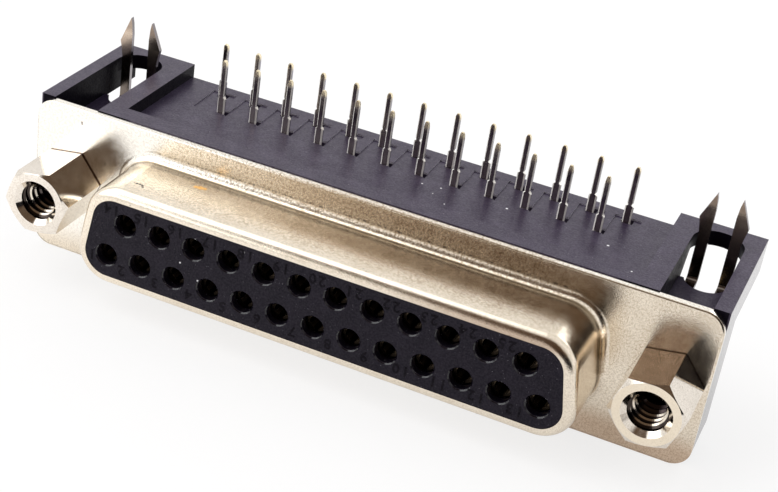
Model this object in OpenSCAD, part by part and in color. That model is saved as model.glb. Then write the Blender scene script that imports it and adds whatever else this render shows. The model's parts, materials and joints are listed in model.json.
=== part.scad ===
// Right-angle D-sub socket connector for a circuit board, with board locks and jackscrews.
// It lies on its lower flange edge with the board side up, and its mating face to the front.
// The origin is the centre of the shroud on the flange's front plane.
// X runs along the flange, Y runs to the rear and Z runs towards the board side.

/* [Contact grid] */
// Contacts in the long row, and the short row has one fewer
long_row = 13; // [5:1:19]
// Distance between neighbouring contacts of one row
pitch = 2.77; // [2.74:0.01:2.8]
// Distance between the two rows
row_gap = 2.84; // [2.8:0.01:2.9]

/* [Shell] */
// Reach of the shroud past the last contact of the long row
shroud_margin = 2.57; // [2.5:0.01:2.7]
// Height of the shroud
shroud_h = 7.9; // [7.8:0.05:8.1]
// How far the shroud stands in front of the flange
shroud_depth = 5.9; // [5.5:0.1:6.2]
// Corner radius of the shroud, seen from the front
shroud_corner = 2.6; // [2.3:0.1:2.8]
// Outer radius of the shroud's drawn front edge
nose_r = 0.75; // [0.65:0.05:0.8]
// Width of the front lip, from the outside of the shroud to its pierced edge
lip_w = 0.82; // [0.8:0.01:1]
// Radius where the shroud turns into the flange
root_r = 0.6; // [0.4:0.1:0.8]
// Thickness of the sheet steel
sheet_t = 0.5; // [0.4:0.05:0.5]
// Reach of the flange past the shroud at each end
flange_margin = 7.33; // [7:0.01:7.6]
// Height of the flange
flange_h = 12.35; // [12.2:0.05:12.5]
// Corner radius of the flange
flange_corner = 1.5; // [1:0.1:2.5]
// Distance from the shroud's end to a screw's axis
screw_margin = 4.33; // [4.2:0.01:4.5]
// Diameter of the flange's screw holes
flange_hole_d = 3.05; // [3:0.05:3.3]

/* [Insulator] */
// Diameter of a cavity's mouth
mouth_d = 1.65; // [1.3:0.05:1.7]
// Depth of a cavity's mouth
mouth_depth = 0.7; // [0.5:0.1:0.8]
// Diameter of a cavity behind its mouth
cavity_d = 1.75; // [1.75:0.05:1.9]
// Chamfer round a cavity's mouth
mouth_chamfer = 0.1; // [0.05:0.05:0.2]
// Thickness of the insulator's collar behind the flange
collar_t = 1.4; // [1.2:0.1:1.6]

/* [Contacts] */
// Outer diameter of a socket barrel
barrel_d = 1.6; // [1.4:0.05:1.6]
// Inner diameter of a socket barrel
barrel_bore_d = 1.1; // [1:0.05:1.15]
// Length of the slots that split a barrel into two tines
tine_l = 3; // [2:0.1:3.5]
// Width of those slots
tine_gap = 0.3; // [0.2:0.05:0.4]
// Thickness of the sheet that a tail is cut from
tail_t = 0.35; // [0.3:0.05:0.4]
// Width of a tail up to its shoulder
tail_w = 0.64; // [0.5:0.02:0.7]
// Width of a tail above its shoulder
pin_w = 0.43; // [0.35:0.01:0.48]
// Width of the notched neck between the shoulder and the pin
neck_w = 0.26; // [0.2:0.02:0.3]
// Distance from the flange's front plane to the short row's tails
near_tail_y = 8.1; // [7.9:0.1:8.3]
// Height of the tails' tips
tip_z = 9.55; // [9:0.05:9.8]
// Height of the tails' shoulders
shoulder_z = 6.53; // [6.3:0.01:7]

/* [Bracket] */
// Thickness of the bracket's wall behind the flange
wall_t = 4; // [3.6:0.1:4.2]
// Distance from the flange's front plane to the rear of the end blocks
block_rear = 12.6; // [12.4:0.1:13]
// Height of the rail and the end blocks, which the circuit board rests on
seat_z = 6.25; // [6.25:0.05:6.5]
// Distance from the flange's front plane to the rear of the middle floor
floor_rear = 12.45; // [12:0.05:12.6]
// Rear of the full-height rail behind the flange
rail_rear = 2.2; // [2:0.05:2.6]
// Height of the middle floor that the tails come out of
floor_z = 5.2; // [5:0.1:5.4]
// Thickness of the middle floor
floor_t = 1.2; // [1:0.1:1.3]
// Depth of the relief round the long row's tails
relief_depth = 0.12; // [0.05:0.01:0.2]
// Width of an end block
block_w = 6.45; // [6.3:0.05:6.5]
// Width of the pocket in an end block, which has a round rear end
pocket_w = 3.72; // [3.6:0.02:3.8]
// Thickness of an end block's rear rib
rear_rib = 1.1; // [0.9:0.1:1.3]
// Height of the ledge in front of a board lock's window
ledge_z = 3.8; // [3.7:0.1:3.9]

/* [Board locks and screws] */
// Thickness of a board lock's sheet
lock_t = 0.35; // [0.3:0.05:0.45]
// Gap between the two prongs of a board lock
fork_gap = 1.48; // [1.4:0.02:1.6]
// Width over a board lock's legs
fork_w = 3.06; // [3:0.02:3.2]
// Width over a board lock's barbs
barb_w = 3.52; // [3.4:0.02:3.56]
// Height of the prongs' points
prong_z = 9.95; // [9.6:0.05:10.4]
// Distance across the flats of a jackscrew's hexagon
hex_af = 4.76; // [4.7:0.01:4.8]
// How far a jackscrew stands in front of the flange
hex_l = 4.7; // [4.5:0.1:5]
// Major diameter of the screw threads
thread_d = 2.84; // [2.8:0.01:2.9]
// Depth of a jackscrew's threaded hole
thread_depth = 3.9; // [3.5:0.1:4]
// Turn of the left and the right hexagon about their own axes
hex_turn = [9, 10]; // [0:1:60]

/* [Hidden] */
$fn = 64;
slack = 0.05;
over = 1;
short_row = long_row - 1;
ways = long_row + short_row;
shroud_w = (long_row - 1) * pitch + 2 * shroud_margin;
flange_w = shroud_w + 2 * flange_margin;
screw_x = shroud_w / 2 + screw_margin;
half_flange = flange_h / 2;

// Lean of the shroud's short sides: 10 degrees, by a sine whose rotation is exact in six figures,
// so that the swept pieces of the shroud meet face to face
side_lean = asin(0.173573);

// Centres of the shroud's lower and upper corner arcs
corner_z = shroud_h / 2 - shroud_corner;
low_corner_x = shroud_w / 2 - shroud_corner;
high_corner_x = low_corner_x - 2 * corner_z * tan(side_lean);
side_l = 2 * corner_z / cos(side_lean);

// Overlap of the shroud's root and the flange
foot_l = 0.2;

// Planes behind the flange
sheet_rear = sheet_t;
wall_rear = sheet_rear + wall_t;
collar_rear = sheet_rear + collar_t;
far_tail_y = near_tail_y + row_gap;

// Insulator behind the flange
collar_w = shroud_w + 2.1;
collar_h = 10.4;
boss_w = shroud_w - 1.6;
boss_h = 6.6;
boss_corner = 1;
mouth_end = shroud_depth - mouth_depth;

// Contact stations along its axis, counted to the front of the flange's front plane
barrel_front = 5;
barrel_rear = 0.5;
shank_d = 1;
shank_rear = -(wall_rear + 0.3);
stop_front = 0.2;
stop_l = 0.8;
bend_r = 0.4;
point_w = 0.16;
neck_l = 0.14;
shoulder_l = 0.16;
strip_coin = 0.11;
pin_coin = 0.07;
stub_l = 1;

// Bracket
block_x = flange_w / 2 - block_w;
pocket_r = pocket_w / 2;
pocket_in = screw_x - pocket_r;
pocket_out = screw_x + pocket_r;
pocket_rear = block_rear - rear_rib;
rib_under = 3.6;
rear_under = 5.1;
ledge_t = 0.9;
ledge_rear = 7.9;
ledge_scoop_y = 8.25;
ledge_scoop_r = 1.55;
gusset_top_y = 10.04;
gusset_foot_y = 8.04;
tail_hole_w = 0.88;
tail_hole_l = 0.8;
tail_hole_side = 0.07;
tail_hole_back = 0.17;
relief_left = 0.94;
relief_right = 1.07;
relief_front = 7.75;
relief_rear = 11.45;

// Board lock
lock_y = 9.83;
lock_plate_w = 5.2;
lock_plate_low = -2.7;
strap_top = ledge_z - ledge_t;
lock_bend = 0.35;
slot_front = 7.3;
barb_z = 7.87;
barb_foot_z = 6.6;
point_x = 0.92;
insert_d = 3.6;
insert_head_d = 4;
insert_head_l = 1.2;

// Jackscrew
stud_l = 5.4;
mouth_cone_d = 3.56;
hex_face_d = 4.7;
hex_bevel = 0.25;

lock_names = ["boardlock_left", "boardlock_right"];
contact_names = [for (n = [1:ways]) str("contact_", n < 10 ? "0" : "", n)];

function in_long_row(n) = n <= long_row;
function contact_x(n) = in_long_row(n) ? (n - (long_row + 1) / 2) * pitch
                                       : (n - long_row - (short_row + 1) / 2) * pitch;
function contact_z(n) = in_long_row(n) ? -row_gap / 2 : row_gap / 2;
function tail_y(n) = in_long_row(n) ? far_tail_y : near_tail_y;
function point_l(n) = in_long_row(n) ? 0.32 : 0.6;

// Centre of a shroud corner and the two directions between which its arc runs
corners = [
    [[high_corner_x, corner_z], [side_lean, 90]],
    [[-high_corner_x, corner_z], [90, 180 - side_lean]],
    [[-low_corner_x, -corner_z], [180 - side_lean, 270]],
    [[low_corner_x, -corner_z], [270, 360 + side_lean]]
];

// Turns the drawing plane into the mating face: its Y becomes Z, and up becomes the front
module facing() {
    rotate([90, 0, 0]) children();
}

// Turns a side view, with depth across and height up, into a piece centred on X
module side_view(w) {
    rotate([90, 0, 90]) translate([0, 0, -w / 2]) linear_extrude(w) children();
}

// D outline whose corner arcs have radius r
module d_outline(r) {
    polygon([for (c = corners, a = c[1]) c[0] + r * [cos(a), sin(a)]]);
    for (c = corners) translate(c[0]) circle(r);
}

module rounded_rectangle(w, h, r) {
    square([w - 2 * r, h], center = true);
    square([w, h - 2 * r], center = true);
    for (x = [-1, 1], y = [-1, 1]) translate([x * (w / 2 - r), y * (h / 2 - r)]) circle(r);
}

// Quarter of a ring, between two radii, in the quadrant where both coordinates are positive
module quarter_ring(outer, inner) {
    intersection() {
        difference() {
            circle(outer);
            if (inner > 0) circle(inner);
        }
        square(outer + over);
    }
}

// Section through the shroud's wall: across is the distance from a corner's centre, up is the front
module shroud_section() {
    outer = shroud_corner;
    translate([outer - sheet_t, root_r]) square([sheet_t, shroud_depth - nose_r - root_r]);
    translate([outer - nose_r, shroud_depth - nose_r]) quarter_ring(nose_r, nose_r - sheet_t);
    translate([outer - lip_w, shroud_depth - sheet_t]) square([lip_w - nose_r, sheet_t]);
    translate([outer + root_r, root_r]) rotate(180) quarter_ring(root_r + sheet_t, root_r);
    translate([outer + root_r, -sheet_t]) square([foot_l, sheet_t]);
}

// Straight stretch of the shroud
module shroud_run(l) {
    rotate([90, 0, 0]) linear_extrude(l) shroud_section();
}

// Corner of the shroud, between a short side and a long one
module shroud_turn(upper) {
    reach = 2 * shroud_corner;
    intersection() {
        rotate(180) rotate_extrude() shroud_section();
        translate([0, -reach, -over]) cube([reach, 2 * reach, shroud_depth + 2 * over]);
        rotate(side_lean) translate([-reach, upper ? 0 : -reach, -over])
            cube([2 * reach, reach, shroud_depth + 2 * over]);
    }
}

// Right-hand half of the shroud, whose long sides run just past the middle
module shroud_half() {
    translate([high_corner_x, corner_z, 0]) {
        rotate(90) translate([0, high_corner_x + over, 0]) shroud_run(high_corner_x + over);
        shroud_turn(true);
        rotate(side_lean) {
            shroud_run(side_l);
            translate([0, -side_l, 0]) rotate(-side_lean) {
                shroud_turn(false);
                rotate(-90) shroud_run(low_corner_x + over);
            }
        }
    }
}

// Drawn steel shell: flange, D-shaped shroud with a rounded nose, and a pierced front lip
module front_shell() {
    color([0.80, 0.76, 0.69]) facing() {
        shroud_half();
        mirror([1, 0, 0]) shroud_half();
        translate([0, 0, -sheet_t]) linear_extrude(sheet_t) difference() {
            rounded_rectangle(flange_w, flange_h, flange_corner);
            d_outline(shroud_corner + root_r);
            for (x = [-screw_x, screw_x]) translate([x, 0]) circle(d = flange_hole_d);
        }
    }
}

module cavity() {
    translate([0, 0, -wall_rear - over]) cylinder(d = cavity_d, h = wall_rear + over + mouth_end);
    translate([0, 0, mouth_end - slack]) cylinder(d = mouth_d, h = mouth_depth + over);
    translate([0, 0, shroud_depth - slack / 2 - mouth_chamfer])
        cylinder(d1 = mouth_d, d2 = mouth_d + 2 * (mouth_chamfer + slack), h = mouth_chamfer + slack);
}

// Moulded insulator: D-shaped tongue, collar behind the flange, and one stepped cavity per contact
module insulator() {
    inside = shroud_corner - sheet_t - slack;
    color([0.13, 0.12, 0.15]) facing() difference() {
        union() {
            translate([0, 0, -sheet_t]) linear_extrude(shroud_depth - nose_r + sheet_t) d_outline(inside);
            linear_extrude(shroud_depth - sheet_t - slack) d_outline(shroud_corner - nose_r - slack);
            linear_extrude(shroud_depth - slack / 2) d_outline(shroud_corner - lip_w - slack / 2);
            translate([0, 0, -collar_rear]) linear_extrude(collar_t)
                rounded_rectangle(collar_w, collar_h, boss_corner);
            translate([0, 0, -wall_rear]) linear_extrude(wall_rear - sheet_t)
                rounded_rectangle(boss_w, boss_h, boss_corner);
        }
        for (n = [1:ways]) translate([contact_x(n), contact_z(n), 0]) cavity();
    }
}

// Box between two corners
module block(low, high) {
    translate(low) cube(high - low);
}

// Pocket for a board lock, open to the front and round at the rear
module pocket_outline() {
    translate([pocket_in, 0]) square([pocket_w, pocket_rear - pocket_r]);
    translate([screw_x, pocket_rear - pocket_r]) circle(pocket_r);
}

// One end block's frame round the board lock, on the right-hand side
module end_block() {
    difference() {
        union() {
            block([pocket_out, sheet_rear, rib_under], [flange_w / 2, block_rear, seat_z]);
            block([block_x, pocket_rear - pocket_r, rear_under], [flange_w / 2, block_rear, seat_z]);
            translate([(block_x + pocket_in) / 2, 0, 0]) side_view(pocket_in - block_x) polygon([
                [sheet_rear, strap_top], [gusset_foot_y, strap_top], [gusset_top_y, rear_under],
                [block_rear, rear_under], [block_rear, seat_z], [sheet_rear, seat_z]
            ]);
        }
        translate([0, 0, ledge_z]) linear_extrude(flange_h) pocket_outline();
    }
    translate([0, 0, strap_top]) linear_extrude(ledge_t) difference() {
        translate([pocket_in, wall_rear]) square([pocket_w, ledge_rear - wall_rear]);
        translate([screw_x, ledge_scoop_y]) circle(ledge_scoop_r);
    }
}

// Wall behind the flange, with square upper corners and round lower ones
module wall_outline() {
    rounded_rectangle(flange_w, flange_h, flange_corner);
    translate([-flange_w / 2, 0]) square([flange_w, floor_z]);
}

// Moulded bracket: wall behind the flange, floor for the tails, and an end block for each board lock
module bracket() {
    color([0.20, 0.19, 0.23]) difference() {
        union() {
            translate([0, wall_rear, 0]) facing() linear_extrude(wall_t) intersection() {
                wall_outline();
                translate([-flange_w / 2, -half_flange]) square([flange_w, half_flange + floor_z]);
            }
            block([-flange_w / 2, sheet_rear, floor_z], [flange_w / 2, rail_rear, seat_z]);
            block([-block_x, wall_rear, floor_z - floor_t], [block_x, floor_rear, floor_z]);
            for (side = [0, 1]) mirror([side, 0, 0]) end_block();
        }
        for (side = [0, 1]) mirror([side, 0, 0])
            block([pocket_in, 0, ledge_z], [pocket_out, wall_rear + over, flange_h]);
        facing() {
            translate([0, 0, -collar_rear]) linear_extrude(wall_rear)
                rounded_rectangle(collar_w, collar_h, boss_corner);
            translate([0, 0, -wall_rear - over]) linear_extrude(wall_rear + over)
                rounded_rectangle(boss_w, boss_h, boss_corner);
            for (x = [-screw_x, screw_x]) translate([x, 0, -wall_rear - over])
                cylinder(d = insert_d, h = wall_rear + over);
        }
        for (n = [1:ways])
            translate([contact_x(n) + tail_hole_side, tail_y(n) + tail_hole_back, floor_z])
                cube([tail_hole_w, tail_hole_l, 2 * floor_t + over], center = true);
        for (n = [1:long_row]) block(
            [contact_x(n) - relief_left, relief_front, floor_z - relief_depth],
            [contact_x(n) + relief_right, relief_rear, floor_z + over]
        );
    }
}

// Socket barrel with two tines, its stop collar and its shank
module socket() {
    difference() {
        translate([0, 0, barrel_rear]) cylinder(d = barrel_d, h = barrel_front - barrel_rear);
        translate([0, 0, barrel_rear + barrel_d / 2]) cylinder(d = barrel_bore_d, h = barrel_front);
        translate([-tine_gap / 2, -barrel_d, barrel_front - tine_l]) cube([tine_gap, 2 * barrel_d, barrel_front]);
    }
    translate([0, 0, stop_front - stop_l]) cylinder(d = cavity_d, h = stop_l);
    translate([0, 0, shank_rear]) cylinder(d = shank_d, h = barrel_rear - shank_rear);
}

// Side view of a strip that runs back, bends and rises
module bent_strip(start_y, axis_z, rise_y, top_z, t) {
    inner = bend_r;
    outer = bend_r + t;
    translate([start_y, axis_z - t / 2]) square([rise_y + t / 2 - outer - start_y, t]);
    translate([rise_y + t / 2 - outer, axis_z - t / 2 + outer]) rotate(270) quarter_ring(outer, inner);
    translate([rise_y - t / 2, axis_z - t / 2 + outer]) square([t, top_z - (axis_z - t / 2 + outer)]);
}

// Section of a tail, whose four edges are coined
module tail_section(w, coin) {
    x = w / 2;
    y = tail_t / 2;
    polygon([
        [x - coin, -y], [x, coin - y], [x, y - coin], [x - coin, y],
        [coin - x, y], [-x, y - coin], [-x, coin - y], [coin - x, -y]
    ]);
}

// Front outline that is the same on both sides, from the points of its right-hand edge
module two_sided(edge) {
    polygon(concat(edge, [for (i = [len(edge) - 1:-1:0]) [-edge[i][0], edge[i][1]]]));
}

// Lower part of a tail, up to its sloping shoulders
module tail_stem(foot_z) {
    intersection() {
        translate([0, 0, foot_z]) linear_extrude(shoulder_z - foot_z) tail_section(tail_w, strip_coin);
        translate([0, tail_t, 0]) facing() linear_extrude(2 * tail_t) two_sided([
            [tail_w, foot_z - over], [tail_w, shoulder_z - 2 * shoulder_l],
            [tail_w / 2, shoulder_z - shoulder_l], [neck_w / 2, shoulder_z]
        ]);
    }
}

// Pin that goes into the board: its notched neck, its straight part and its point
module tail_pin(l) {
    intersection() {
        linear_extrude(tip_z + over) tail_section(pin_w, pin_coin);
        translate([0, tail_t, 0]) facing() linear_extrude(2 * tail_t) two_sided([
            [neck_w / 2, shoulder_z - shoulder_l / 2], [neck_w / 2, shoulder_z + neck_l / 2],
            [pin_w / 2, shoulder_z + neck_l], [pin_w / 2, tip_z - l],
            [point_w / 2 + 0.03, tip_z - 0.05], [point_w / 2, tip_z]
        ]);
        side_view(2 * pin_w) polygon([
            [-tail_t, shoulder_z - over], [tail_t, shoulder_z - over], [tail_t, tip_z - 0.5],
            [tail_t / 2, tip_z - 0.25], [tail_t / 2 - 0.12, tip_z], [0.05 - tail_t / 2, tip_z],
            [-tail_t / 2, tip_z - 0.06], [-tail_t, tip_z - 0.5]
        ]);
    }
}

// Socket contact with its right-angle tail
module contact(n) {
    stub_z = contact_z(n) + stub_l;
    color([0.72, 0.70, 0.66]) translate([contact_x(n), 0, 0]) {
        translate([0, 0, contact_z(n)]) facing() socket();
        side_view(tail_w) bent_strip(-shank_rear - shank_d / 2, contact_z(n), tail_y(n), stub_z, tail_t);
        translate([0, tail_y(n), 0]) {
            tail_stem(stub_z - slack);
            tail_pin(point_l(n));
        }
    }
}

// Side view of a board lock: plate behind the wall, strap, and the rising fork
module lock_profile() {
    outer = lock_bend + lock_t;
    translate([wall_rear + outer, strap_top - outer]) rotate(90) quarter_ring(outer, lock_bend);
    translate([wall_rear + outer, strap_top - lock_t])
        square([lock_y + lock_t / 2 - wall_rear - 2 * outer, lock_t]);
    translate([lock_y + lock_t / 2 - outer, strap_top - lock_t + outer])
        rotate(270) quarter_ring(outer, lock_bend);
}

// Front view of one prong, on the right-hand side of its board lock's centre line
module prong_outline() {
    foot_z = strap_top + lock_bend;
    polygon([
        [fork_gap / 2, foot_z], [fork_w / 2, foot_z], [fork_w / 2, barb_foot_z],
        [(fork_w + barb_w) / 4, barb_foot_z + 0.72], [barb_w / 2, barb_z], [point_x, prong_z],
        [fork_gap / 2 + 0.08, prong_z - 0.5], [fork_gap / 2, prong_z - 1.4]
    ]);
}

// Board lock: forked spring steel strap, held between the wall and the threaded insert
module boardlock(side) {
    color([0.66, 0.64, 0.60]) translate([side * screw_x, 0, 0]) {
        translate([0, wall_rear + lock_t, 0]) facing() linear_extrude(lock_t) difference() {
            translate([-lock_plate_w / 2, lock_plate_low])
                square([lock_plate_w, strap_top - lock_bend - lock_t - lock_plate_low]);
            circle(d = insert_d);
        }
        difference() {
            side_view(fork_w) lock_profile();
            translate([0, 0, strap_top - over]) linear_extrude(2 * over) {
                translate([-fork_gap / 2, slot_front]) square([fork_gap, block_rear]);
                translate([0, slot_front]) circle(d = fork_gap);
            }
        }
        translate([0, lock_y + lock_t / 2, 0]) facing() linear_extrude(lock_t)
            for (hand = [0, 1]) mirror([hand, 0]) prong_outline();
    }
}

module jackscrew(turn) {
    difference() {
        intersection() {
            rotate(turn) linear_extrude(hex_l) circle(d = hex_af / cos(30), $fn = 6);
            union() {
                cylinder(d = 2 * hex_af, h = hex_l - hex_bevel);
                translate([0, 0, hex_l - hex_bevel])
                    cylinder(d1 = hex_face_d + 2 * hex_bevel * tan(60), d2 = hex_face_d, h = hex_bevel);
            }
        }
        translate([0, 0, hex_l - thread_depth]) cylinder(d = thread_d, h = thread_depth + over);
        translate([0, 0, hex_l - (mouth_cone_d - thread_d) / 2])
            cylinder(d1 = thread_d, d2 = mouth_cone_d + 2 * slack, h = (mouth_cone_d - thread_d) / 2 + slack);
    }
    translate([0, 0, -stud_l]) cylinder(d = thread_d, h = stud_l);
}

// The two jackscrews: hexagonal body with a threaded hole, and a stud through the flange
module jackscrews() {
    color([0.80, 0.76, 0.68]) facing() {
        translate([-screw_x, 0, 0]) jackscrew(hex_turn[0]);
        translate([screw_x, 0, 0]) jackscrew(hex_turn[1]);
    }
}

// The two threaded inserts that clamp the board locks to the wall
module threaded_inserts() {
    color([0.75, 0.70, 0.58]) facing() for (x = [-screw_x, screw_x]) translate([x, 0, 0]) difference() {
        union() {
            translate([0, 0, -wall_rear - lock_t]) cylinder(d = insert_d, h = wall_t + lock_t);
            translate([0, 0, -wall_rear - lock_t - insert_head_l])
                cylinder(d = insert_head_d, h = insert_head_l);
        }
        translate([0, 0, -2 * wall_rear]) cylinder(d = thread_d, h = 2 * wall_rear);
    }
}

front_shell();
insulator();
bracket();
jackscrews();
threaded_inserts();
for (i = [0, 1]) boardlock(i == 0 ? -1 : 1);
for (n = [1:ways]) contact(n);
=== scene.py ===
import bpy
import bmesh
import json
import math
from mathutils import Matrix, Vector


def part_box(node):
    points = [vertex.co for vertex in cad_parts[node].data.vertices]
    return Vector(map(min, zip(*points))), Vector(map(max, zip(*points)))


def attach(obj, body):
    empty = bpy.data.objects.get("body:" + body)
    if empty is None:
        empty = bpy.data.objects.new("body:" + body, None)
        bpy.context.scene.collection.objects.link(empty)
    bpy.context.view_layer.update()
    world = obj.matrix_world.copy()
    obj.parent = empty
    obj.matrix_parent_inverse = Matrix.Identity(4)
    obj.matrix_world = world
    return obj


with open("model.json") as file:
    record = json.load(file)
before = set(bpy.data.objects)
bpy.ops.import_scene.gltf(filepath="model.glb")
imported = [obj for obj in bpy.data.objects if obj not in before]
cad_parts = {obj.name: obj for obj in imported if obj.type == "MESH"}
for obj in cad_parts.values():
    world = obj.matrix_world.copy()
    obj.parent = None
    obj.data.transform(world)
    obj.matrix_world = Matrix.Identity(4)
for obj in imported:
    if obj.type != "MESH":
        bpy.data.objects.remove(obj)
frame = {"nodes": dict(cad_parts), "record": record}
scene = bpy.context.scene


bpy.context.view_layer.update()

# Lengths are in millimetres, and MM turns them into metres
MM = 0.001

# Driving sizes, as in the part's source
LONG_ROW = 13
PITCH = 2.77
ROW_GAP = 2.84
SHROUD_H = 7.9
FLOOR_Z = 5.2
FLANGE_CORNER = 1.5

# Sizes worked out from them
SHORT_ROW = LONG_ROW - 1
ROW_Z = ROW_GAP / 2
SHROUD_TOP = SHROUD_H / 2

# Sizes from the frame
HALF_FLANGE_X, _, HALF_FLANGE_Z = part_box("front_shell")[1] / MM
FACE_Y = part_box("insulator")[0].y / MM
SEAT_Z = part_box("bracket")[1].z / MM
SCREW = next(m for m in frame["record"]["mounts"] if m["name"] == "jackscrew_thread_right")
SCREW_X = SCREW["pos_m"][0] / MM
THREAD_R = SCREW["dims"]["r_mm"]


class Tree:
    """Short forms for building the nodes of a material or of the world."""

    def __init__(self, tree):
        self.nodes, self.links = tree.nodes, tree.links
        self.shader = self.nodes.get("Principled BSDF")
        self.place = None

    def put(self, kind, **settings):
        """A new node with these settings."""
        node = self.nodes.new(kind)
        for name, value in settings.items():
            setattr(node, name, value)
        return node

    def feed(self, socket, value):
        """Links another node's output to a socket, or sets the socket's own value."""
        if isinstance(value, bpy.types.NodeSocket):
            self.links.new(value, socket)
        elif hasattr(value, "__len__") and len(value) == 3 and socket.type == "RGBA":
            socket.default_value = (*value, 1)
        else:
            socket.default_value = value

    def point(self):
        """The shaded point in millimetres."""
        if self.place is None:
            geometry = self.put("ShaderNodeNewGeometry")
            scaled = self.put("ShaderNodeVectorMath", operation="SCALE")
            self.links.new(geometry.outputs["Position"], scaled.inputs[0])
            scaled.inputs["Scale"].default_value = 1 / MM
            self.place = scaled.outputs[0]
            self.normal = geometry.outputs["True Normal"]
        return self.place

    def axes(self, vector):
        """X, Y and Z of a vector."""
        parts = self.put("ShaderNodeSeparateXYZ")
        self.links.new(vector, parts.inputs[0])
        return parts.outputs

    def spot(self):
        """X, Y and Z of the shaded point in millimetres."""
        return self.axes(self.point())

    def facing(self):
        """X, Y and Z of the surface's normal."""
        self.point()
        return self.axes(self.normal)

    def math(self, operation, *values):
        node = self.put("ShaderNodeMath", operation=operation)
        for socket, value in zip(node.inputs, values):
            self.feed(socket, value)
        return node.outputs[0]

    def size(self, value):
        """The value without its sign."""
        return self.math("ABSOLUTE", value)

    def times(self, product, *factors):
        for factor in factors:
            product = self.math("MULTIPLY", product, factor)
        return product

    def length(self, u, v):
        """The length of the vector (u, v)."""
        return self.math("SQRT", self.math("ADD", self.times(u, u), self.times(v, v)))

    def step(self, value, low, high, to=(0, 1)):
        """Runs smoothly from to[0] at low to to[1] at high; high may be the smaller."""
        node = self.put("ShaderNodeMapRange", interpolation_type="SMOOTHSTEP")
        self.feed(node.inputs["Value"], value)
        node.inputs["From Min"].default_value = low
        node.inputs["From Max"].default_value = high
        node.inputs["To Min"].default_value, node.inputs["To Max"].default_value = to
        return node.outputs["Result"]

    def band(self, value, a, b, c, d):
        """One between b and c, and nothing outside a and d."""
        return self.times(self.step(value, a, b), self.step(value, d, c))

    def mix(self, amount, first, second, blend="MIX"):
        """The first colour where the amount is nothing, and the second where it is one."""
        node = self.put("ShaderNodeMix", data_type="RGBA", blend_type=blend)
        # A mix node's sockets 6 and 7 take the colours, and its output 2 gives the result
        self.feed(node.inputs[0], amount)
        self.feed(node.inputs[6], first)
        self.feed(node.inputs[7], second)
        return node.outputs[2]

    def tint(self, amount, colour, by):
        """The colour multiplied by another, as far as the amount says."""
        return self.mix(amount, colour, by, "MULTIPLY")

    def noise(self, scale, detail=3.0):
        """Noise with about `scale` lumps a millimetre."""
        node = self.put("ShaderNodeTexNoise")
        node.inputs["Scale"].default_value = scale
        node.inputs["Detail"].default_value = detail
        node.inputs["Roughness"].default_value = 0.6
        self.links.new(self.point(), node.inputs["Vector"])
        return node.outputs[0]

    def near(self, spots):
        """One in the core of each round spot (x, y, z, radius), and nothing outside the spots."""
        core = 0.4
        covered = 0.0
        for x, y, z, radius in spots:
            distance = self.put("ShaderNodeVectorMath", operation="DISTANCE")
            self.links.new(self.point(), distance.inputs[0])
            distance.inputs[1].default_value = (x, y, z)
            inside = self.step(distance.outputs["Value"], radius, core * radius)
            covered = self.math("MAXIMUM", covered, inside)
        return covered

    def near_screw_axis(self, radius):
        """One within this distance of the nearer jackscrew's axis."""
        soft = 0.05
        x, _, z = self.spot()
        distance = self.length(self.math("SUBTRACT", self.size(x), SCREW_X), z)
        return self.step(distance, radius + soft, radius)

    def bump(self, height, strength, distance, under=None):
        """A normal bent by this height, whose full range is `distance` millimetres."""
        node = self.put("ShaderNodeBump")
        node.inputs["Strength"].default_value = strength
        node.inputs["Distance"].default_value = distance * MM
        self.links.new(height, node.inputs["Height"])
        if under is not None:
            self.links.new(under, node.inputs["Normal"])
        return node.outputs["Normal"]

    def light(self, kind, colour, strength=1.0):
        """A shader that gives off light: a background or an emission."""
        node = self.put(kind)
        self.feed(node.inputs["Color"], colour)
        self.feed(node.inputs["Strength"], strength)
        return node

    def show(self, amount, first, second, output):
        """The output gets this mix of two shaders."""
        both = self.put("ShaderNodeMixShader")
        self.feed(both.inputs[0], amount)
        self.links.new(first.outputs[0], both.inputs[1])
        self.links.new(second.outputs[0], both.inputs[2])
        self.links.new(both.outputs[0], output.inputs["Surface"])


def material(name):
    mat = bpy.data.materials.new(name)
    mat.use_nodes = True
    return mat, Tree(mat.node_tree)


# Metals

# Where a tone begins and where it is full: along Y, then along X, then by the normal's X
ON_FLANGE = (-0.4, -0.1)
BEHIND_FRONT = (0.02, 0.06)
RIGHT_HALF = (-2, 2)
SIDEWAYS = (0.75, 0.95)
# Where the painted shade at the shroud's root begins to end, and where it has ended, along Y
ROOT_END = (-0.45, -0.25)
# The flange's rolled rim, and the crests of the threads
RIM_WIDTH = 0.16
CREST_SEEN_R = 1.22


def metal(name, light, dark, rough, grain, tone=None, marks=(), rim=None):
    """Plated metal: a slow change between two tones, a fine speckle, pits and a slightly uneven finish.

    Rough is its range of roughness, and grain is the strength of its fine relief.
    """
    mat, t = material(name)
    inputs = t.shader.inputs
    inputs["Metallic"].default_value = 1.0
    colour = t.mix(t.step(t.noise(0.35), 0.35, 0.65), dark, light)
    speck = t.step(t.noise(11.0, 2.0), 0.40, 0.66)
    colour = t.tint(t.times(speck, 0.55), colour, (0.72, 0.67, 0.62))
    pits = t.step(t.noise(4.0, 1.0), 0.25, 0.19)
    colour = t.mix(t.times(pits, 0.6), colour, (0.12, 0.09, 0.07))
    if tone:
        colour = tone(t, colour)
    for spots, hue, amount in marks:
        colour = t.mix(t.times(t.near(spots), amount), colour, hue)
    t.feed(inputs["Base Color"], colour)
    t.feed(inputs["Roughness"], t.step(t.noise(1.2), 0.3, 0.7, rough))
    normal = t.bump(t.noise(14.0, 1.0), grain, 0.012)
    if rim:
        normal = t.bump(rim(t), 1.0, 0.06, normal)
    t.feed(inputs["Normal"], normal)
    return mat


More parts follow.
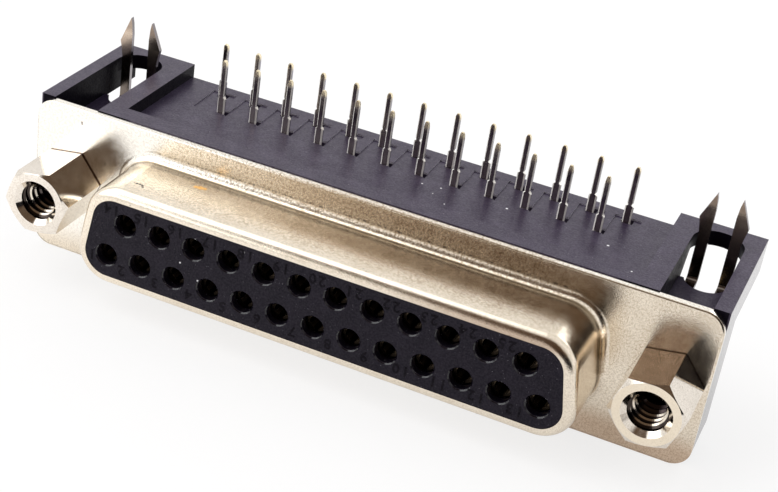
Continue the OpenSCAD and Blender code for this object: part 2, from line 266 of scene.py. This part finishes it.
def flange_rim(t):
    """Height of the blanked sheet's rolled rim: falls off over RIM_WIDTH at the flange's outline."""
    x, _, z = t.spot()
    u = t.math("SUBTRACT", t.size(x), HALF_FLANGE_X - FLANGE_CORNER)
    v = t.math("SUBTRACT", t.size(z), HALF_FLANGE_Z - FLANGE_CORNER)
    out = t.length(t.math("MAXIMUM", u, 0.0), t.math("MAXIMUM", v, 0.0))
    reach = t.math("ADD", out, t.math("MINIMUM", t.math("MAXIMUM", u, v), 0.0))
    return t.step(reach, FLANGE_CORNER, FLANGE_CORNER - RIM_WIDTH)


def paler_parts(t, colour):
    """The sheet's edge and rear are paler, and the flange has painted light towards its left end."""
    x, y, z = t.spot()
    colour = t.mix(t.step(y, *BEHIND_FRONT), colour, (1.0, 0.96, 0.88))
    # Painted light: the flange is paler towards its left end, where the light falls
    painted_light_left_end = t.times(t.step(y, *ON_FLANGE), t.step(x, -3, -15), t.step(z, -6.0, -3.5), 0.9)
    return t.mix(painted_light_left_end, colour, (1.0, 0.97, 0.90))


def worn_parts(t, colour):
    """Painted dark reflection: darker on the shroud's top, and on the flange above it."""
    x, y, z = t.spot()
    on_top = t.step(z, SHROUD_TOP - 0.35, SHROUD_TOP - 0.05)
    top = t.times(on_top, t.band(y, -3.9, -3.4, -2.0, -1.4), t.step(x, -12, 4))
    flange = t.times(t.step(y, *ON_FLANGE), t.band(x, -9, 0, 13, 17), t.step(z, 4.6, 5.6))
    return t.tint(t.math("MAXIMUM", top, flange), colour, (0.90, 0.87, 0.84))


def browner_parts(t, colour):
    """Painted dark reflection: the lip is browner towards its upper right, and the whole shell towards its
    lower right.
    """
    x, y, z = t.spot()
    lip = t.times(t.step(y, -5.5, -5.8), t.step(z, 2.6, 3.2), t.step(x, 2, 14))
    colour = t.tint(lip, colour, (0.66, 0.58, 0.54))
    lower_right = t.times(t.step(x, 6, 20), t.step(z, -3.2, -5.2))
    return t.tint(lower_right, colour, (0.80, 0.70, 0.64))


def sandy_mottle(t, colour):
    """Sandy mottling, half as strong on the shroud, weaker towards both ends, and none on the lip."""
    x, y, _ = t.spot()
    sand = t.step(t.noise(5.5, 2.0), 0.42, 0.64)
    along_y = t.times(t.step(y, -4.9, -4.4), t.step(y, -0.6, -0.1, (0.5, 1.0)))
    along_x = t.times(t.step(x, 13, 18, (1.0, 0.45)), t.step(x, -12, -19, (1.0, 0.3)))
    return t.tint(t.times(sand, along_y, along_x, 0.8), colour, (0.62, 0.54, 0.45))


def dull_root(t, colour):
    """Painted shade on the shroud next to its root, and a wider, weaker patch of it at the left."""
    x, y, _ = t.spot()
    narrow = t.times(t.band(y, -1.3, -0.7, *ROOT_END), 0.85)
    colour = t.tint(narrow, colour, (0.33, 0.32, 0.31))
    wide = t.times(t.band(y, -3.0, -1.2, *ROOT_END), t.step(x, -5, -13))
    return t.tint(wide, colour, (0.66, 0.62, 0.56))


def root_grime(t, colour):
    """A broken line of grime where the shroud's upper root radius meets the flange."""
    x, _, z = t.spot()
    line = t.times(t.band(z, 4.50, 4.58, 4.64, 4.72), t.step(t.size(x), 17.2, 16.6))
    grime = t.times(line, t.step(t.noise(2.6, 2.0), 0.50, 0.60), 0.75)
    return t.mix(grime, colour, (0.10, 0.07, 0.05))


def shell_tone(t, colour):
    """Changes in the shell's plating from place to place, and painted light, shade and reflections, each
    laid over the ones before.
    """
    for layer in (paler_parts, worn_parts, browner_parts, sandy_mottle, dull_root, root_grime):
        colour = layer(t, colour)
    return colour


def tail_tone(t, colour):
    """A tail's grey sheared sides, its coined corners pale with a painted highlight, painted shade at its
    end in the insulator, and its pale tip.
    """
    _, y, z = t.spot()
    across = t.size(t.facing()[0])
    side = t.step(across, *SIDEWAYS)
    colour = t.mix(side, colour, (0.30, 0.29, 0.33))
    # Painted highlight: the coined corners are made pale and less metallic
    coined = t.band(across, 0.3, 0.45, 0.8, 0.9)
    colour = t.mix(coined, colour, (0.90, 0.87, 0.82))
    t.feed(t.shader.inputs["Metallic"], t.math("SUBTRACT", 1.0, t.times(coined, 0.85)))
    # Painted shade at the end that sits inside the insulator's cavity
    painted_shade_inside = t.step(y, 3.0, 1.0)
    colour = t.mix(painted_shade_inside, colour, (0.10, 0.075, 0.05))
    tip = t.step(z, 8.9, 9.3)
    return t.mix(tip, colour, (0.97, 0.85, 0.60))


def screw_tone(t, colour):
    """Painted light on the right screw, a cream highlight on its face and a browner reflection on its upper
    flat, and painted shade at both screws' joints and holes.
    """
    x, y, _ = t.spot()
    _, rearward, upward = t.facing()
    right_one = t.step(x, *RIGHT_HALF)
    # Painted highlight on the right screw's face
    face = t.times(right_one, t.step(rearward, -0.9, -0.97), 0.6)
    colour = t.mix(face, colour, (0.93, 0.80, 0.60))
    # Painted dark reflection on the right screw's upper flat
    painted_reflection_flat = t.times(right_one, t.step(rearward, -0.3, -0.1), t.step(upward, 0.8, 0.9))
    colour = t.tint(painted_reflection_flat, colour, (0.66, 0.55, 0.47))
    # Painted shade in the joint where the screw meets the flange
    painted_shade_joint = t.band(y, -0.16, -0.10, 0.0, 0.05)
    colour = t.mix(painted_shade_joint, colour, (0.10, 0.055, 0.03))
    # Painted shade in the screws' holes
    painted_shade_hole = t.times(t.step(y, -4.35, -4.2), t.near_screw_axis(THREAD_R + 0.03))
    return t.mix(painted_shade_hole, colour, (0.03, 0.025, 0.02))


def thread_tone(t, colour):
    """Crests in the metal's colour, painted shade on the flanks, and more painted shade further down."""
    # Painted shade on the flanks, off the crests
    crest = t.near_screw_axis(CREST_SEEN_R)
    colour = t.mix(crest, (0.05, 0.04, 0.035), colour)
    # Painted shade, deeper further down the bore
    painted_shade_deep = t.step(t.spot()[1], -3.4, -1.9)
    return t.mix(painted_shade_deep, colour, (0.04, 0.03, 0.03))


def prong_tone(t, colour):
    """A prong's foot darkened with painted shade, its duller tip and grey sheared sides."""
    z = t.spot()[2]
    # Painted shade on the foot, down in the bracket's pocket
    foot = t.step(z, 8.8, 6.2)
    colour = t.mix(foot, colour, (0.17, 0.14, 0.12))
    tip = t.step(z, 8.5, 9.3)
    t.feed(t.shader.inputs["Metallic"], t.step(tip, 0, 1, (1.0, 0.35)))
    colour = t.mix(tip, colour, (0.52, 0.40, 0.31))
    side = t.step(t.size(t.facing()[0]), *SIDEWAYS)
    return t.mix(side, colour, (0.28, 0.26, 0.27))


# Marks seen on the shell, as round spots (x, y, z, radius): each set with its colour and its strength
STAIN = [(-11.92, -1.74, 3.9, 0.28), (-11.62, -1.66, 3.9, 0.36), (-11.3, -1.62, 3.9, 0.28)]
SCRATCH = [
    (-15.58, -3.89, SHROUD_TOP, 0.14), (-15.35, -3.86, SHROUD_TOP, 0.14),
    (-15.12, -3.92, SHROUD_TOP, 0.14), (-14.98, -4.12, SHROUD_TOP, 0.14),
]
FLANGE_SPOTS = [
    (-22.68, 0, 5.12, 0.10), (-22.66, 0, 5.0, 0.09), (-20.5, 0, 2.33, 0.11), (-17.43, 0, 1.7, 0.13),
    (HALF_FLANGE_X, 0.4, -0.5, 0.18), (HALF_FLANGE_X, 0.5, -1.0, 0.2), (HALF_FLANGE_X, 0.5, -1.4, 0.16),
]
SHELL_MARKS = [
    (STAIN, (0.86, 0.52, 0.16), 0.9),
    (SCRATCH, (0.04, 0.03, 0.03), 1.0),
    (FLANGE_SPOTS, (0.08, 0.06, 0.05), 0.9),
]

shell_mat = metal("shell_nickel", light=(0.91, 0.825, 0.695), dark=(0.85, 0.76, 0.63),
                  rough=(0.15, 0.21), grain=0.60, tone=shell_tone, marks=SHELL_MARKS, rim=flange_rim)
screw_mat = metal("screw_nickel", light=(0.87, 0.81, 0.73), dark=(0.80, 0.74, 0.66),
                  rough=(0.06, 0.12), grain=0.08, tone=screw_tone)
thread_mat = metal("screw_thread", light=(0.84, 0.77, 0.66), dark=(0.78, 0.70, 0.58),
                   rough=(0.08, 0.14), grain=0.04, tone=thread_tone)
lock_mat = metal("lock_tin", light=(0.80, 0.70, 0.58), dark=(0.62, 0.50, 0.40),
                 rough=(0.18, 0.26), grain=0.08, tone=prong_tone)
tail_mat = metal("contact_tin", light=(0.62, 0.57, 0.52), dark=(0.46, 0.41, 0.37),
                 rough=(0.12, 0.22), grain=0.05, tone=tail_tone)
insert_mat = metal("insert_brass", light=(0.76, 0.60, 0.32), dark=(0.62, 0.46, 0.22),
                   rough=(0.20, 0.32), grain=0.08)


# Plastics

# Where a look begins and where it is full: by the normal's Z, along X to both sides, and along Z
UPRIGHT = (0.5, 0.3)
OUTER_END = (26.35, 26.45)
END_BLOCK = (18.5, 19.5)
PAST_SHORT_ROW = (16.4, 16.5)
UPPER_HALF = (0.1, 0.2)
# Radii between which the face rolls over into a cavity's mouth
MOUTH_RIM = (0.82, 0.93)

# Dust and nicks, as round spots: (x, y, radius) on the bracket, and (x, z, radius) on the insulator's face
DUST_COLOUR = (0.85, 0.85, 0.87)
FLOOR_DUST = [
    (3.56, 7.05, 0.10), (4.78, 3.94, 0.10), (8.69, 7.10, 0.12), (2.14, 6.87, 0.09),
    (4.66, 4.88, 0.07), (3.36, 5.89, 0.06), (-13.05, 10.5, 0.14), (16.56, 6.37, 0.13),
]
RAIL_DUST = [(19.32, 1.87, 0.09), (15.97, 2.65, 0.08)]
NICKS = [(26.42, 7.6, 0.16), (26.5, 7.2, 0.12), (26.45, 5.8, 0.14), (26.5, 3.9, 0.12), (26.5, 2.85, 0.16)]
FACE_DUST = [
    (-10.62, 0.05, 0.09), (-5.79, 2.59, 0.11), (-9.60, 2.29, 0.09), (-9.11, -0.92, 0.09),
    (-16.66, 2.44, 0.10),
]


def plastic(name, colour, dusty, level, rough, grain, detail=None):
    """Black glass-filled moulding: fine grain, faint dust and a low sheen.

    Level is its mean sheen, rough is its range of roughness, and grain is the strength of its relief.
    """
    mat, t = material(name)
    inputs = t.shader.inputs
    inputs["Specular Tint"].default_value = (0.93, 0.85, 1.0, 1)
    base = t.mix(t.step(t.noise(0.6), 0.4, 0.8), colour, dusty)
    look = {
        "Base Color": t.mix(t.step(t.noise(9.0, 1.0), 0.72, 0.80), base, (0.25, 0.24, 0.27)),
        "Specular IOR Level": t.step(t.noise(7.0, 2.0), 0.36, 0.64, (0.70 * level, 1.30 * level)),
        "Roughness": t.step(t.noise(2.0), 0.3, 0.7, rough),
        "Normal": t.bump(t.noise(7.0, 2.0), grain, 0.03),
    }
    if detail:
        inputs["Coat Roughness"].default_value = 0.08
        detail(t, look)
    for socket, value in look.items():
        t.feed(inputs[socket], value)
    return mat


def on_level(spots, z):
    """Spots (x, y, radius) laid on a level surface."""
    return [(x, y, z, radius) for x, y, radius in spots]


def bracket_detail(t, look):
    """Glossy outer ends, painted shade on the walls of the end blocks' pockets, painted light on the low
    walls round the floor's relief, dust and nicks.
    """
    x, y, z = t.spot()
    across, _, upward = t.facing()
    out = t.size(x)
    upright = t.step(t.size(upward), *UPRIGHT)
    look["Coat Weight"] = t.times(t.step(out, *OUTER_END), t.step(t.size(across), 0.9, 0.97))
    # Painted shade: the upright walls of the end blocks' pockets are near-black and lose their sheen
    painted_shade_pocket = t.times(upright, t.step(out, *OUTER_END[::-1]), t.step(out, *END_BLOCK))
    colour = t.mix(painted_shade_pocket, look["Base Color"], (0.004, 0.003, 0.006))
    sheen = t.step(painted_shade_pocket, 0, 1, (1.0, 0.08))
    look["Specular IOR Level"] = t.times(look["Specular IOR Level"], sheen)
    # Painted light: the low upright walls round the floor's relief are made paler
    under_floor = t.band(z, FLOOR_Z - 0.2, FLOOR_Z - 0.12, FLOOR_Z - 0.02, FLOOR_Z + 0.04)
    edge = t.times(under_floor, t.band(y, 1.5, 2.0, 12.3, 12.5), upright)
    edge = t.times(edge, t.math("SUBTRACT", 1.0, painted_shade_pocket), 0.95)
    colour = t.mix(edge, colour, (0.34, 0.32, 0.38))
    dust = t.near(on_level(FLOOR_DUST, FLOOR_Z) + on_level(RAIL_DUST, SEAT_Z))
    colour = t.mix(dust, colour, DUST_COLOUR)
    nicks = t.near(on_level(NICKS, SEAT_Z))
    look["Base Color"] = t.mix(nicks, colour, (0.008, 0.006, 0.01))


def mouth_rims(t):
    """Height of the rounded rims round the cavity mouths: one on the face, nothing at a mouth's edge."""
    x, _, z = t.spot()
    half_pitch = PITCH / 2
    rows = []
    for row_z, shift in ((ROW_Z, half_pitch), (-ROW_Z, 0.0)):
        from_cavity = t.math("WRAP", t.math("ADD", x, shift), half_pitch, -half_pitch)
        radius = t.length(from_cavity, t.math("SUBTRACT", z, row_z))
        rows.append(t.step(radius, *MOUTH_RIM))
    # The short row, which is the upper one, has no cavity past its two ends
    no_cavity = t.times(t.step(t.size(x), *PAST_SHORT_ROW), t.step(z, *UPPER_HALF))
    return t.math("MAXIMUM", t.math("MINIMUM", *rows), no_cavity)


def insulator_detail(t, look):
    """Rounded, glossy rims of the cavity mouths, and dust on the face."""
    rim = mouth_rims(t)
    lip = t.band(rim, 0.0, 0.1, 0.9, 1.0)
    look["Normal"] = t.bump(rim, 1.0, 0.05, look["Normal"])
    look["Roughness"] = t.mix(lip, look["Roughness"], (0.16, 0.16, 0.16))
    look["Coat Weight"] = lip
    dust = t.near([(x, FACE_Y, z, radius) for x, z, radius in FACE_DUST])
    look["Base Color"] = t.mix(dust, look["Base Color"], DUST_COLOUR)


insulator_mat = plastic("insulator_plastic", colour=(0.004, 0.003, 0.007), dusty=(0.009, 0.007, 0.013),
                        level=0.22, rough=(0.38, 0.50), grain=0.45, detail=insulator_detail)
bracket_mat = plastic("bracket_plastic", colour=(0.024, 0.017, 0.038), dusty=(0.044, 0.034, 0.062),
                      level=0.50, rough=(0.28, 0.40), grain=0.50, detail=bracket_detail)
number_mat = plastic("number_plastic", colour=(0.003, 0.002, 0.004), dusty=(0.007, 0.006, 0.009),
                     level=0.10, rough=(0.42, 0.50), grain=0.10)

LOOKS = {
    "front_shell": shell_mat,
    "insulator": insulator_mat,
    "bracket": bracket_mat,
    "jackscrews": screw_mat,
    "threaded_inserts": insert_mat,
    "boardlock_left": lock_mat,
    "boardlock_right": lock_mat,
}
for node, obj in frame["nodes"].items():
    obj.data.materials.clear()
    obj.data.materials.append(LOOKS.get(node, tail_mat))


# Added pieces

def piece(name, mesh, mat):
    """A fixed piece of the connector that has this mesh, look and slot."""
    added = bpy.data.objects.new(name, mesh)
    scene.collection.objects.link(added)
    mesh.materials.append(mat)
    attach(added, "root")


# The 4-40 threads in the two jackscrews: they run from the front, and fade in and out over a part of a turn
THREAD_PITCH = 0.635
THREAD_FRONT = -4.1
THREAD_LENGTH = 3.05
CREST_R = 1.13
START_ANGLE = 2.2
STEPS_A_TURN = 48
FADE_TURNS = 0.35
LEAST_FADE = 0.08
# Half widths of the ridge, as shares of the pitch, and how far its foot goes into the bore's wall
FOOT_SHARE = 0.38
TIP_SHARE = 0.08
BITE = 0.02


def ridge_section(i, last):
    """The ridge's section at step i as four points (radius, y): smaller towards both ends."""
    fade = min(1.0, LEAST_FADE + min(i, last - i) / (STEPS_A_TURN * FADE_TURNS))
    y = THREAD_FRONT + THREAD_PITCH * i / STEPS_A_TURN
    root = THREAD_R + BITE
    crest = THREAD_R - (THREAD_R - CREST_R) * fade
    foot = FOOT_SHARE * THREAD_PITCH * fade
    tip = TIP_SHARE * THREAD_PITCH * fade
    return [(root, y - foot), (crest, y - tip), (crest, y + tip), (root, y + foot)]


def thread(name, x):
    """Ridge of a thread in a jackscrew's bore, as one closed swept prism."""
    last = int(THREAD_LENGTH / THREAD_PITCH * STEPS_A_TURN)
    bm = bmesh.new()
    rings = []
    for i in range(last + 1):
        angle = START_ANGLE + 2 * math.pi * i / STEPS_A_TURN
        ring = []
        for r, y in ridge_section(i, last):
            corner = Vector((x + r * math.cos(angle), y, r * math.sin(angle)))
            ring.append(bm.verts.new(corner * MM))
        rings.append(ring)
    for ring, following in zip(rings, rings[1:]):
        for k in range(4):
            after = (k + 1) % 4
            bm.faces.new((ring[k], ring[after], following[after], following[k]))
    bm.faces.new(rings[0][::-1])
    bm.faces.new(rings[-1])
    bmesh.ops.recalc_face_normals(bm, faces=bm.faces)
    mesh = bpy.data.meshes.new(name)
    bm.to_mesh(mesh)
    bm.free()
    piece(name, mesh, thread_mat)


thread("thread_left", -SCREW_X)
thread("thread_right", SCREW_X)

# The raised pin numbers, whose feet stand a little inside the insulator's face
NUMBER_SIZE = 1.15
NUMBER_SPACING = 1.25
NUMBER_BOLD = 0.02
NUMBER_RISE = 0.036
NUMBER_FOOT_Y = FACE_Y + 0.015
HALF_THICK = 0.5
WELD = 0.002


def numeral(value):
    """The value's digits as a solid, HALF_THICK to either side of their middle plane."""
    text = bpy.data.curves.new("numeral", "FONT")
    text.body = str(value)
    text.size = NUMBER_SIZE
    text.extrude = HALF_THICK
    text.offset = NUMBER_BOLD
    text.align_x = text.align_y = "CENTER"
    text.space_character = NUMBER_SPACING
    text.resolution_u = 2
    holder = bpy.data.objects.new("numeral", text)
    scene.collection.objects.link(holder)
    bpy.context.view_layer.update()
    shaped = holder.evaluated_get(bpy.context.evaluated_depsgraph_get())
    mesh = bpy.data.meshes.new_from_object(shaped)
    bpy.data.objects.remove(holder)
    bpy.data.curves.remove(text)
    return mesh


def number(value, x, z):
    """A small raised pin number, read with the long row on top."""
    name = "number_%02d" % value
    mesh = numeral(value)
    bm = bmesh.new()
    bm.from_mesh(mesh)
    bmesh.ops.remove_doubles(bm, verts=bm.verts, dist=WELD)
    for vertex in bm.verts:
        across, along, height = vertex.co
        y = NUMBER_FOOT_Y - NUMBER_RISE * (height + HALF_THICK)
        vertex.co = Vector((x - across, y, z - along)) * MM
    bmesh.ops.recalc_face_normals(bm, faces=bm.faces)
    bm.to_mesh(mesh)
    bm.free()
    mesh.name = name
    mesh.materials.clear()
    piece(name, mesh, number_mat)


def number_row(first, count, left, z):
    """A row's numbers, each left of its cavity; left and z hold values for the first one and the others."""
    for k in range(count):
        other = min(k, 1)
        cavity_x = (k - (count - 1) / 2) * PITCH
        number(first + k, cavity_x - left[other], z[other])


number_row(1, LONG_ROW, left=(1.16, 1.46), z=(-1.72, -2.28))
number_row(LONG_ROW + 1, SHORT_ROW, left=(1.15, 1.48), z=(2.43, 2.43))


# Floor

# Corners of the white paper. Its near right edge is close to the object, as dark reflections there show
PAPER = [(-220, -175), (-10, -54), (75, -12), (150, 40), (150, 200), (-220, 240)]
PAPER_Z = -HALF_FLANGE_Z
# Share of glow in the paper's look, for all rays that see or mirror it, and how much more for the camera
GLOW = 0.55
MORE_GLOW = 0.22


def paper_material():
    """White paper that partly glows when it is seen, and still shows the object's shadow."""
    mat, t = material("floor_paper")
    inputs = t.shader.inputs
    t.feed(inputs["Base Color"], t.mix(t.noise(0.8), (0.90, 0.89, 0.89), (0.94, 0.93, 0.93)))
    inputs["Roughness"].default_value = 0.8
    inputs["Specular IOR Level"].default_value = 0.1
    t.feed(inputs["Normal"], t.bump(t.noise(3.0), 0.1, 0.02))
    rays = t.put("ShaderNodeLightPath").outputs
    direct = rays["Is Camera Ray"]
    mirrored = t.math("MAXIMUM", rays["Is Glossy Ray"], rays["Is Transmission Ray"])
    seen = t.math("MAXIMUM", direct, mirrored)
    amount = t.math("ADD", t.times(seen, GLOW), t.times(direct, MORE_GLOW))
    # Reflections show it brighter towards the window at the left, and the camera sees it plain white
    reflected = t.step(t.spot()[0], 28, -45, (0.80, 1.30))
    strength = t.math("ADD", direct, t.times(reflected, t.math("SUBTRACT", 1.0, direct)))
    glow = t.light("ShaderNodeEmission", (1, 1, 1), strength)
    t.show(amount, t.shader, glow, t.nodes["Material Output"])
    return mat


paper_mesh = bpy.data.meshes.new("floor")
paper_mesh.from_pydata([(x * MM, y * MM, PAPER_Z * MM) for x, y in PAPER], [], [range(len(PAPER))])
paper_mesh.materials.append(paper_material())
floor = bpy.data.objects.new("floor", paper_mesh)
scene.collection.objects.link(floor)


# World

# What the metal reflects, by direction in degrees. Turn is 0 to the front and grows to the right, rise
# grows upwards, and lean is a turn that slants with the rise. Four values are a band, and two are a step
ROOM_LEAN = (-19, -9, 48, 66)
ROOM_RISE = (68, 54)
DARK_TURN = (6, 20, 56, 72)
DARK_RISE = (20, 8)
WINDOW_LEAN = (-95, -75, -24, -17)
WINDOW_RISE = (8, 20, 60, 75)
REAR_TURN = (140, 148, 170, 176)
REAR_RISE = (6, 12, 34, 40)
SLANT = 0.62
SLANT_FROM = 15.0


def surroundings(t):
    """White all round, a dim room in front, dark low at the front right, a window, and a light behind."""
    degrees = 180 / math.pi
    x, y, z = t.axes(t.put("ShaderNodeTexCoord").outputs["Generated"])
    turn = t.times(t.math("ARCTAN2", x, t.times(y, -1.0)), degrees)
    rise = t.times(t.math("ARCSINE", z), degrees)
    lean = t.math("ADD", turn, t.times(t.math("SUBTRACT", rise, SLANT_FROM), SLANT))
    room = t.times(t.band(lean, *ROOM_LEAN), t.step(rise, *ROOM_RISE))
    dark = t.times(t.band(turn, *DARK_TURN), t.step(rise, *DARK_RISE))
    window = t.times(t.band(lean, *WINDOW_LEAN), t.band(rise, *WINDOW_RISE))
    rear = t.times(t.band(turn, *REAR_TURN), t.band(rise, *REAR_RISE))
    air = t.mix(room, (0.98, 0.97, 0.96), (0.125, 0.085, 0.058))
    air = t.mix(dark, air, (0.012, 0.011, 0.013))
    air = t.mix(window, air, (2.7, 2.72, 2.75))
    return t.mix(rear, air, (2.6, 2.6, 2.6))


def studio():
    """The world: its surroundings light the object, and the camera sees plain white."""
    world = bpy.data.worlds.new("studio")
    world.use_nodes = True
    world.node_tree.nodes.clear()
    t = Tree(world.node_tree)
    lit = t.light("ShaderNodeBackground", surroundings(t))
    backdrop = t.light("ShaderNodeBackground", (1, 1, 1))
    direct = t.put("ShaderNodeLightPath").outputs["Is Camera Ray"]
    t.show(direct, lit, backdrop, t.put("ShaderNodeOutputWorld"))
    return world


scene.world = studio()


# Lamp

LAMP_AT = Vector((-200, 50, 400)) * MM
LAMP_SIDE = 300 * MM
LAMP_WATTS = 0.25


def top_lamp():
    """A soft square light high up at the left, aimed at the object."""
    data = bpy.data.lights.new("top_lamp", "AREA")
    data.shape = "RECTANGLE"
    data.size = data.size_y = LAMP_SIDE
    data.energy = LAMP_WATTS
    data.color = (1, 0.99, 0.97)
    lamp = bpy.data.objects.new("top_lamp", data)
    lamp.location = LAMP_AT
    lamp.rotation_euler = (-LAMP_AT).to_track_quat("-Z", "Y").to_euler()
    scene.collection.objects.link(lamp)


top_lamp()


# Camera

PHOTO_W = 778
PHOTO_H = 492
# Fitted to the photo: focal length and foot of the optical axis in its pixels, then place and directions
FOCAL = 1673.08
AXIS_U = 320.95
AXIS_V = 259.85
CAMERA_AT = Vector((35.199, -97.807, 60.549)) * MM
TO_RIGHT = Vector((0.90075, 0.41791, 0.11833))
AHEAD = Vector((-0.31032, 0.80982, -0.49789))
SENSOR = 36.0


def photo_camera():
    """A camera that sees the object as the photo does."""
    data = bpy.data.cameras.new("camera")
    data.sensor_width = SENSOR
    data.lens = FOCAL / PHOTO_W * SENSOR
    data.shift_x = (PHOTO_W / 2 - AXIS_U) / PHOTO_W
    data.shift_y = (AXIS_V - PHOTO_H / 2) / PHOTO_W
    data.clip_start = 1 * MM
    data.dof.use_dof = False
    camera = bpy.data.objects.new("camera", data)
    scene.collection.objects.link(camera)
    # The three directions are made exactly square to each other
    ahead = AHEAD.normalized()
    up = TO_RIGHT.normalized().cross(ahead).normalized()
    right = ahead.cross(up).normalized()
    turned = Matrix((right, up, -ahead)).transposed().to_4x4()
    camera.matrix_world = Matrix.Translation(CAMERA_AT) @ turned
    return camera


scene.camera = photo_camera()
scene.view_settings.view_transform = "Standard"
